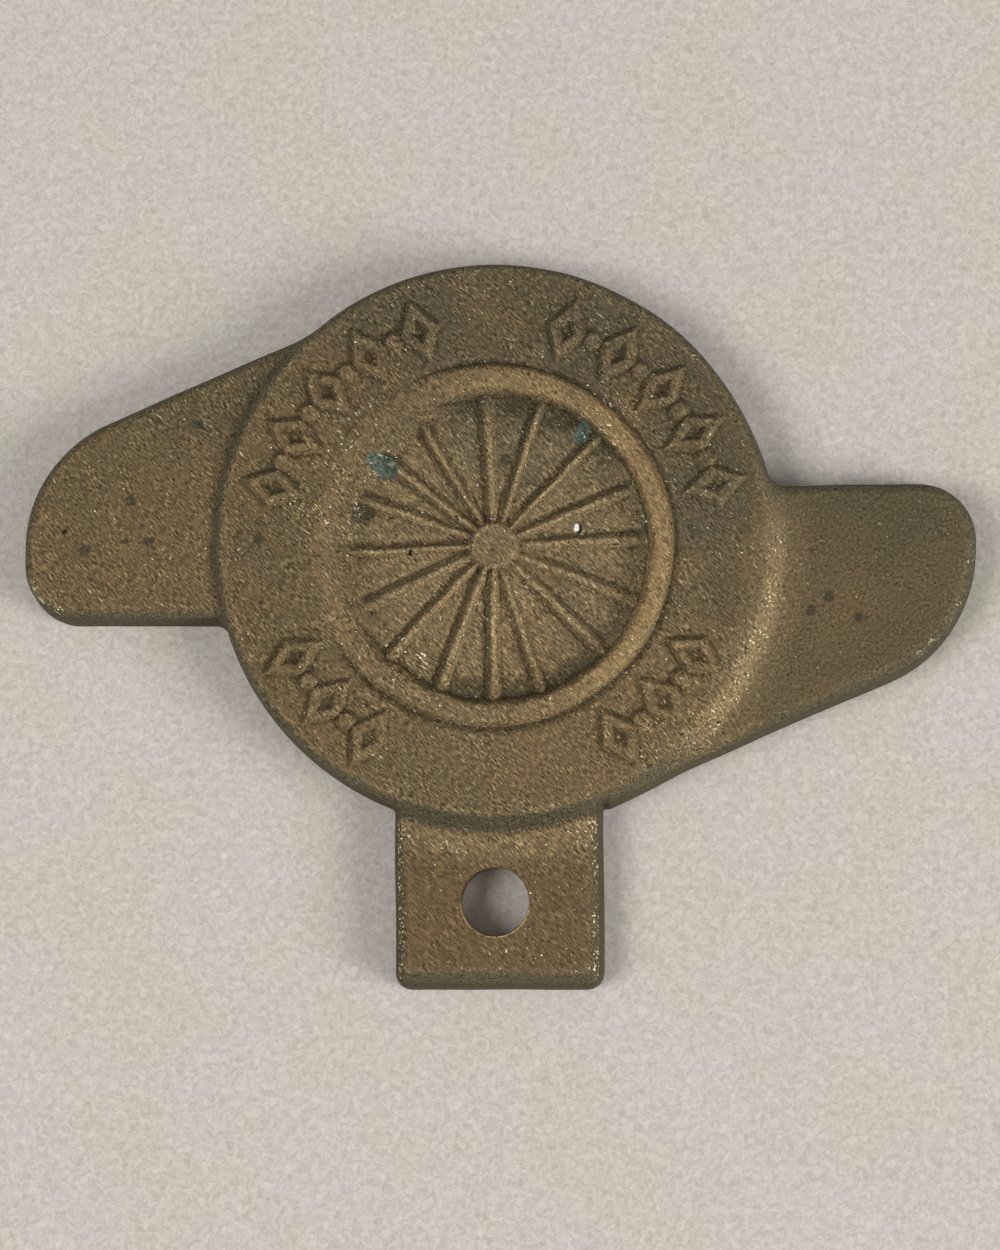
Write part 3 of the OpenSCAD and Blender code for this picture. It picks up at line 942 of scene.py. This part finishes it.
heights = height_map()
close_round, wide_round = surroundings(heights, close_r), surroundings(heights, wide_r)
for piece in pieces:
    mesh = piece.data
    at = np.empty(len(mesh.vertices) * 3)
    mesh.vertices.foreach_get("co", at)
    x, y, z = at.reshape(-1, 3).T / MM
    normal = np.empty(len(mesh.vertices) * 3)
    mesh.vertices.foreach_get("normal", normal)
    east, north, upward = normal.reshape(-1, 3).T
    inner_slope = part_filled(x, y) * smooth_step(z, floor_z + 0.3, rim_edge_z)
    on_crown = np.maximum(smooth_step(z, rim_edge_z + 0.1, crown_z - 0.1), inner_slope) * (piece is wheel_rim)
    from_middle = np.hypot(x, y)
    outside = (from_middle > shoulder_mid[0] - 0.2) & (piece in (round_body, *ears.values(), mounting_lug))
    heading = np.degrees(np.arctan2(north, east))
    # outer edges that face the windows get painted glints
    glint_headings = {
        ears["left"]: between(heading, -175, -150, -110, -95),
        ears["right"]: between(heading, -66, -52, -10, 15),
        mounting_lug: smooth_step(np.abs(east), 0.3, 0.6) * (z < lug_t - 0.02),
    }.get(piece, np.zeros(len(z)))
    edge_glint_share = glint_headings * (from_middle > body_r + 0.6) * (z > lowest_face_z) * (z < ear_t - 0.02)
    warm_share = smooth_step(facing(x, y, warm_side), -0.3, 0.5)
    for label, values in (
            ("proud", z - read_map(close_round, x, y)), ("standing", z - read_map(wide_round, x, y)),
            ("steep", 1 - upward), ("north", north), ("east", east),
            ("warm", on_crown * np.maximum(warm_share, 0.6 * worn_soft(x, y))), ("gouged", gouged(x, y)),
            ("ledge", ledge_highlight_at(x, y, z)), ("grime", dark_rim_foot_at(x, y, z)), ("outside", outside.astype(float)),
            ("chipped", edge_glint_share * smooth_step(1 - upward, 0.02, 0.1) * (upward > 0.5))):
        mesh.attributes.new(label, "FLOAT", "POINT").data.foreach_set("value", values.astype(np.float32))
print("height map", heights.shape, "highest", round(float(heights.max()), 2), "mm")

# %% [markdown]
# The finish is a matte brown patina over brass. Its colour drifts slowly between brown, golden and olive,
# and the sand of the mould left a fine grain, drawn out along one slanting direction by rubbing. On the
# right ear the grain is round and fainter. The layers are built from noise in millimetres.

# %% Patina layers
def colour(red, green, blue):
    parts = [c / 255 for c in (red, green, blue)]
    return tuple(c / 12.92 if c <= 0.04045 else ((c + 0.055) / 1.055) ** 2.4 for c in parts) + (1,)


cast_brass.use_nodes = True
finish_tree = cast_brass.node_tree
metal = finish_tree.nodes["Principled BSDF"]
shade = partial(Wire.node, finish_tree)


def blend(share, first, second):
    return shade("ShaderNodeMix", {"data_type": "RGBA"}, {"Factor": share, "A": first, "B": second})


def layered(base, layers):
    for share, tone in layers:
        base = blend(share, base, colour(*tone))
    return base


def scaled(shade_of, share):
    return shade("ShaderNodeVectorMath", {"operation": "SCALE"}, {"Vector": shade_of, "Scale": share})


def grain(place, scale, detail=2.0, roughness=0.5):
    return shade("ShaderNodeTexNoise", {}, {
        "Vector": place, "Scale": scale, "Detail": detail, "Roughness": roughness})


def stored(label):
    return shade("ShaderNodeAttribute", {"attribute_name": label}, {}, "Fac")


place_mm = shade("ShaderNodeVectorMath", {"operation": "SCALE"}, {
    "Vector": shade("ShaderNodeTexCoord", {}, {}, "Object"), "Scale": 1 / MM})
stroke_heading, stroke_stretch = math.radians(-45), 3.8
slanting = shade("ShaderNodeMapping", {"vector_type": "TEXTURE"}, {
    "Vector": place_mm, "Rotation": (0, 0, stroke_heading), "Scale": (stroke_stretch, 1, 1)})
where = shade("ShaderNodeSeparateXYZ", {}, {"Vector": place_mm})
face_x, face_y = output(where, "X"), output(where, "Y")
flat_place = shade("ShaderNodeCombineXYZ", {}, {"X": face_x, "Y": face_y, "Z": 0.0})

drift = grain(place_mm, 0.08, 2)
cloud = grain(place_mm, 0.45, 4, 0.6)
mottle = grain(place_mm, 1.4, 3, 0.6)
fray = mottle - 0.5
strokes = grain(slanting, 6.6, 3, 0.6)
sand = grain(place_mm, 3.6, 3, 0.6)
on_right_ear = ramp(face_x, 20, 32)
texture = strokes + (sand - strokes) * on_right_ear
proud, standing, steep, north, east = map(stored, ("proud", "standing", "steep", "north", "east"))
warm, ledge, grime, chipped, outside = map(stored, ("warm", "ledge", "grime", "chipped", "outside"))
cut_deep = stored("gouged")
print("patina layers in", finish_tree.name)

# %% [markdown]
# Rubbed relief, and sheltered corners darkened by dirt and painted shade, come from the stored numbers,
# roughened by the noise so that no border is clean. The steep walls never see a cloth, so they stay grey and
# greenish. Slopes that face the upper left get painted shade, slopes that face the lower right get painted
# light, and the rim's right half has worn to a warmer brass. In the well the darkening is kept to the gouges
# on the spokes' upper-left sides and cleared beside the hub's right side, as painted shade, the well's floor
# is painted lighter, as light, and the spokes' crests get a painted highlight. The middle of the badge is a
# little lighter than its top, its right ear and its lug, and the drilled hole shows barer brass, with a
# painted highlight on its lower lip.

# %% Wear, dirt, walls and painted light and shade
def gap_to(x, y):
    return shade("ShaderNodeVectorMath", {"operation": "DISTANCE"}, {
        "Vector": flat_place, 1: (x, y, 0)}, "Value")


def patch(x, y, full, end):
    return 1 - ramp(gap_to(x, y), full, end)


from_wheel = gap_to(*map(float, wheel_mid))
in_well = 1 - ramp(from_wheel, 11, 13.5)
rubbed = ramp(standing + fray * 0.3, 0.03, 0.4) * (1 - ramp(steep, 0.2, 0.6))
# darker where a point lies below its surroundings: dirt in the hollows, with painted shade
dirt_and_shade = ramp(fray * 0.08 - proud, 0.01, 0.11)
dirt_and_shade = dirt_and_shade * (1 - ledge) * (1 - 0.5 * outside) * (1 - 0.6 * warm)
# in the well the darkening stays in the gouges on the spokes' upper-left sides and is cleared beside the
# hub's right side: painted shade
lit_side_in_well = 0.75 * in_well * (1 - ramp(cut_deep, 0.1, 0.5))
lit_side_of_hub = 0.7 * (1 - ramp(from_wheel, 3.2, 5)) * ramp(face_x - float(wheel_mid[0]), -1, 1.5)
dirt_and_shade = dirt_and_shade * (1 - lit_side_in_well) * (1 - lit_side_of_hub)
walls = ramp(steep + fray * 0.06, -0.02, 0.22) * outside * (1 - ledge)
relief_slopes = ramp(steep + fray * 0.05, 0.03, 0.2) * (1 - outside)
uphill = 0.7 * north - 0.7 * east + fray * 0.3
# slopes that face the upper left get painted shade
painted_shade_upper_left = ramp(uphill, 0.1, 0.6) * (1 - ledge) * (1 - 0.7 * outside) * (1 - 0.6 * warm)
# slopes that face the lower right get painted light
lit = ramp(-uphill, 0.1, 0.6) * (1 - outside)
dull = ramp(grain(place_mm, 0.11, 2) + 0.009 * face_y + 0.0045 * face_x, 0.42, 0.78)
middle = patch(3, -8, 10, 27)
on_lug = ramp(-face_y, 29, 34)

hub_glow = 1 - ramp(from_wheel, 2.8, 7.5)
# the well's floor between the spokes is painted lighter, as light
well_floor_light = in_well * (1 - ramp(standing, -0.05, 0.15)) * ramp(from_wheel, 2.4, 3.4)
# painted highlight on the spokes' crests
crest_highlight = in_well * ramp(proud + fray * 0.08, 0.02, 0.1) * ramp(from_wheel, 2.4, 3.4)
lug_step = walls * ramp(-face_y, 24, 27) * ramp(-north, 0.1, 0.5) * (1 - on_lug)
ruddy = patch(-6, -36, 2, 8) + 0.4 * patch(-36, -4, 3, 14) + 0.5 * patch(31, -4, 3, 9)
dark_olive_patch = 1 - ramp(gap_to(38, 3) + 4 * (cloud - 0.5), 3, 9)

brown, golden = colour(103, 88, 63), colour(109, 91, 64)
patina = layered(blend(ramp(drift, 0.42, 0.6), brown, golden), [
    (dull * 0.85, (86, 78, 61)),
    (ramp(mottle, 0.52, 0.75) * 0.35, (118, 97, 68)),
    (ramp(cloud, 0.53, 0.7) * 0.4, (86, 78, 58)),
    (on_right_ear * 0.45, (92, 82, 61)),
    (ruddy * 0.4, (119, 93, 63)),
    (dark_olive_patch * 0.35, (78, 74, 56)),
    (rubbed * 0.65, (134, 115, 83)),
    (warm * 0.8, (142, 118, 82)),
    (relief_slopes * 0.3, (70, 60, 41)),
    (lit * 0.35, (132, 113, 80)),
    (crest_highlight * 0.5, (146, 126, 92)),
    (hub_glow * (0.5 * cloud), (126, 109, 79)),
    (walls * 0.75, (83, 78, 61)),
    (lug_step * 0.45, (58, 53, 41)),
    (painted_shade_upper_left * 0.35, (62, 53, 36)),
    (dirt_and_shade * 0.75, (56, 48, 32)),
    (grime * 0.75, (61, 55, 39)),
    # painted golden highlight on the ledges
    (ledge * (0.1 + 0.8 * mottle), (148, 127, 91)),
])
lightness = 0.98 + 0.2 * middle + 0.3 * well_floor_light - 0.05 * on_lug + 0.05 * on_right_ear
hole_gap = gap_to(*map(float, hole_mid))
# a painted highlight on the hole's lower lip
lip_highlight = ramp(hole_gap, hole_r, hole_r + 0.06) * (1 - ramp(hole_gap, hole_r + 0.06, hole_r + 0.2))
patina = layered(scaled(patina, lightness), [
    (1 - ramp(hole_gap, hole_r, hole_r + 0.1), (90, 68, 38)),
    (lip_highlight * ramp(-face_y, 34, 37), (186, 162, 116)),
])
print("wear and dirt mixed")

# %% [markdown]
# Verdigris has grown in two sheltered spots of the well, and small dark dots lie scattered on the ears and
# the band, with a few black pits and one white speck. They are placed one by one, in millimetres from the
# badge's middle, with ragged borders.

# %% Verdigris and dark spots
def near(spot, radius, ragged):
    return 1 - ramp(gap_to(*spot) + fray * (2 * ragged * radius), 0.65 * radius, radius)


def any_near(spots, ragged=0.5):
    found = near(*spots[0], ragged)
    for spot, radius in spots[1:]:
        found = found.math("MAXIMUM", near(spot, radius, ragged))
    return found


green = any_near([
    ((-10.8, 7.5), 1.4), ((-11.6, 7.9), 1.0), ((-10.1, 7.0), 1.0),
    ((8.7, 10.9), 0.85), ((8.5, 10.2), 0.85)])
stain = near((-12.8, 2.7), 1.4, 0.6)
dark = any_near([
    ((-35.7, 4.3), 0.62), ((-33.9, 0.2), 0.68), ((-40.3, -0.7), 0.68), ((-36.2, 0.3), 0.4),
    ((-29.1, 11.8), 0.62), ((-22.9, 0.3), 0.65), ((32.5, -5.6), 0.62), ((35.4, -7.6), 0.56),
    ((30.8, -6.9), 0.56), ((19.2, 1.0), 0.45), ((1.2, 7.9), 0.6)], 0.8)
black = any_near([
    ((-8.1, -1.0), 0.24), ((-8.15, -1.25), 0.24), ((-42.2, 1.2), 0.3),
    ((8.25, 1.05), 0.42), ((8.3, 1.3), 0.34)])
white = any_near([((8.1, 1.4), 0.25), ((8.05, 1.1), 0.28)])
patina = layered(patina, [
    (stain * 0.85, (62, 56, 42)), (dark * 0.85, (63, 59, 46)), (green * 0.85, (71, 89, 81))])
print("spots added")

# %% [markdown]
# Grain and pits darken and lighten the patina from point to point, in busy and calm patches, and painted
# glints and sparks of light on tiny scratches of brass are scattered in it. They lie thickest at listed
# places, at the rim's left, below the hub and a few more, along the ledges and along the outer edges that
# face the windows.

# %% Grain, glints and pits
busy = ramp(grain(place_mm, 0.7, 2), 0.35, 0.65)
contrast = (5.5 - 3.1 * on_right_ear - 1.9 * on_lug - 1.2 * warm) * (0.65 + 0.5 * busy)
patina = scaled(patina, (0.5 + texture) ** contrast * (0.7 + 0.6 * sand))
pale = ramp(strokes, 0.62, 0.71) * busy.math("MAXIMUM", 0.8 * in_well)
pale = pale * (1 - on_right_ear) * (1 - walls)
glint_clusters = any_near([
    ((-13.5, 9.5), 5.5), ((-16.5, 3), 4.5), ((-8.5, -12), 3),
    ((1, -5.5), 4), ((11, 11.5), 4), ((17, -20), 4.5)], 0.3)
speckle = grain(slanting, 5.6, 1.0)
# painted glints and sparks of light, thickest at the listed clusters, the ledges and the edges facing the
# windows
shine = 0.11 * chipped + 0.04 * rubbed + 0.07 * ledge + 0.06 * glint_clusters
shine += 0.25 * (cloud - 0.5) - 0.03 * on_right_ear
glint_allowed = 1 - walls * (1 - chipped)
sparks = ramp(grain(place_mm, 3.2, 0.0) + 0.8 * shine, 0.84, 0.87) * glint_allowed * (1 - on_right_ear)
glints = (ramp(speckle + shine, 0.72, 0.8) * glint_allowed).math("MAXIMUM", sparks)
pits = ramp(grain(place_mm, 2.4, 1.0) + 0.05 * busy, 0.7, 0.77)
patina = layered(patina, [
    (pale * (0.5 + 0.25 * in_well), (180, 162, 126)),
    (pits * 0.8, (46, 38, 25)),
    (black * 0.95, (24, 20, 15)),
    (glints * 0.9, (222, 204, 160)),
    (sparks, (244, 234, 204)),
    (white, (236, 236, 228)),
])
print("grain, glints and pits added")

# %% [markdown]
# The last step feeds the shader. Patina is mostly matte with a little metal showing through, the painted
# glints are more metal, and verdigris, the walls and the dirt with its painted shade are not. Grain and pits
# also tilt the surface a little through a Bump node.

# %% Finish of the casting
height = texture + sand * 0.5 + cloud * 0.5 - pits * 0.5
bump = shade("ShaderNodeBump", {}, {"Strength": 0.7, "Distance": 0.09 * MM, "Height": height})
matte = green.math("MAXIMUM", dirt_and_shade).math("MAXIMUM", walls)
rough = 0.6 - 0.12 * glints + 0.12 * matte + 0.1 * (sand - 0.5)
metallic = (0.2 + 0.4 * glints) * (1 - matte)
for socket, value in (
        ("Base Color", patina), ("Metallic", metallic), ("Roughness", rough), ("Normal", bump)):
    finish_tree.links.new(value.socket, metal.inputs[socket])
metal.inputs["Specular IOR Level"].default_value = 0.25
metal.inputs["Specular Tint"].default_value = (1, 0.85, 0.6, 1)
for piece in pieces:
    piece.data.materials.clear()
    piece.data.materials.append(cast_brass)
print("finish has", len(finish_tree.nodes), "nodes")

# %% [markdown]
# The badge lies on a sheet of pale paper, whose fibres and faint tints come from two noises.

# %% Floor
floor_mesh = bpy.data.meshes.new("paper")
half_side = 2
floor_corners = [(x * half_side, y * half_side, 0) for x, y in ((-1, -1), (1, -1), (1, 1), (-1, 1))]
floor_mesh.from_pydata(floor_corners, [], [(0, 1, 2, 3)])
floor = bpy.data.objects.new("paper", floor_mesh)
bpy.context.scene.collection.objects.link(floor)
floor.location.z = -0.02 * MM
paper = bpy.data.materials.new("pale_paper")
paper.use_nodes = True
paper_shader = paper.node_tree.nodes["Principled BSDF"]
paper_node = partial(Wire.node, paper.node_tree)
paper_place = paper_node("ShaderNodeTexCoord", {}, {}, "Object")


def paper_noise(scale, detail, roughness=0.5, distortion=0.0):
    return paper_node("ShaderNodeTexNoise", {}, {
        "Vector": paper_place, "Scale": scale, "Detail": detail, "Roughness": roughness,
        "Distortion": distortion})


def paper_mix(share, first, second):
    return paper_node("ShaderNodeMix", {"data_type": "RGBA"}, {"Factor": share, "A": first, "B": second})


tint = ramp(paper_noise(70.0, 3.0), 0.35, 0.65)
fibres = ramp(paper_noise(1500.0, 5.0, 0.8, 0.8), 0.25, 0.75)
thin = paper_mix(tint, colour(181, 172, 167), colour(178, 172, 158))
thick = paper_mix(tint, colour(220, 212, 206), colour(218, 212, 199))
paper_colour = paper_mix(fibres, thin, thick)
paper.node_tree.links.new(paper_colour.socket, paper_shader.inputs["Base Color"])
paper_shader.inputs["Roughness"].default_value = 0.9
floor_mesh.materials.append(paper)
print("paper", 2 * half_side, "metres wide")

# %% [markdown]
# Two soft windows light it, a stronger one from the right and a weaker one from the left, and the room
# gives the rest.

# %% Light
def window(name, azimuth, elevation, distance, size, strength):
    data = bpy.data.lights.new(name, "AREA")
    data.shape = "DISK"
    data.size = size
    data.energy = strength
    lamp = bpy.data.objects.new(name, data)
    a, e = math.radians(azimuth), math.radians(elevation)
    place = Vector((math.cos(a) * math.cos(e), math.sin(a) * math.cos(e), math.sin(e))) * distance
    lamp.matrix_world = Matrix.Translation(place) @ place.to_track_quat("Z", "Y").to_matrix().to_4x4()
    bpy.context.scene.collection.objects.link(lamp)


window("right_window", azimuth=-20, elevation=30, distance=1.2, size=0.6, strength=9.8)
window("left_window", azimuth=195, elevation=52, distance=1.2, size=0.6, strength=6.9)
world = bpy.data.worlds.new("room")
bpy.context.scene.world = world
world.use_nodes = True
room_light = world.node_tree.nodes["Background"]
room_light.inputs["Color"].default_value = (0.31, 0.31, 0.31, 1)
room_light.inputs["Strength"].default_value = 1
bpy.context.scene.view_settings.view_transform = "Standard"
print("windows lit:", len(bpy.data.lights))

# %% [markdown]
# Each piece is hung under the body that carries it, and the measured solid that it stands for is hidden.

# %% Hang the pieces and hide the solids
stands_for = {
    "round_body": round_body, "left_ear": ears["left"], "right_ear": ears["right"],
    "mounting_lug": mounting_lug, "wheel_rim": wheel_rim, "wheel_spokes": wheel_spokes,
    "wheel_hub": wheel_hub, **borders,
}
for node, piece in stands_for.items():
    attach(piece, "root")
    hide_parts(node)
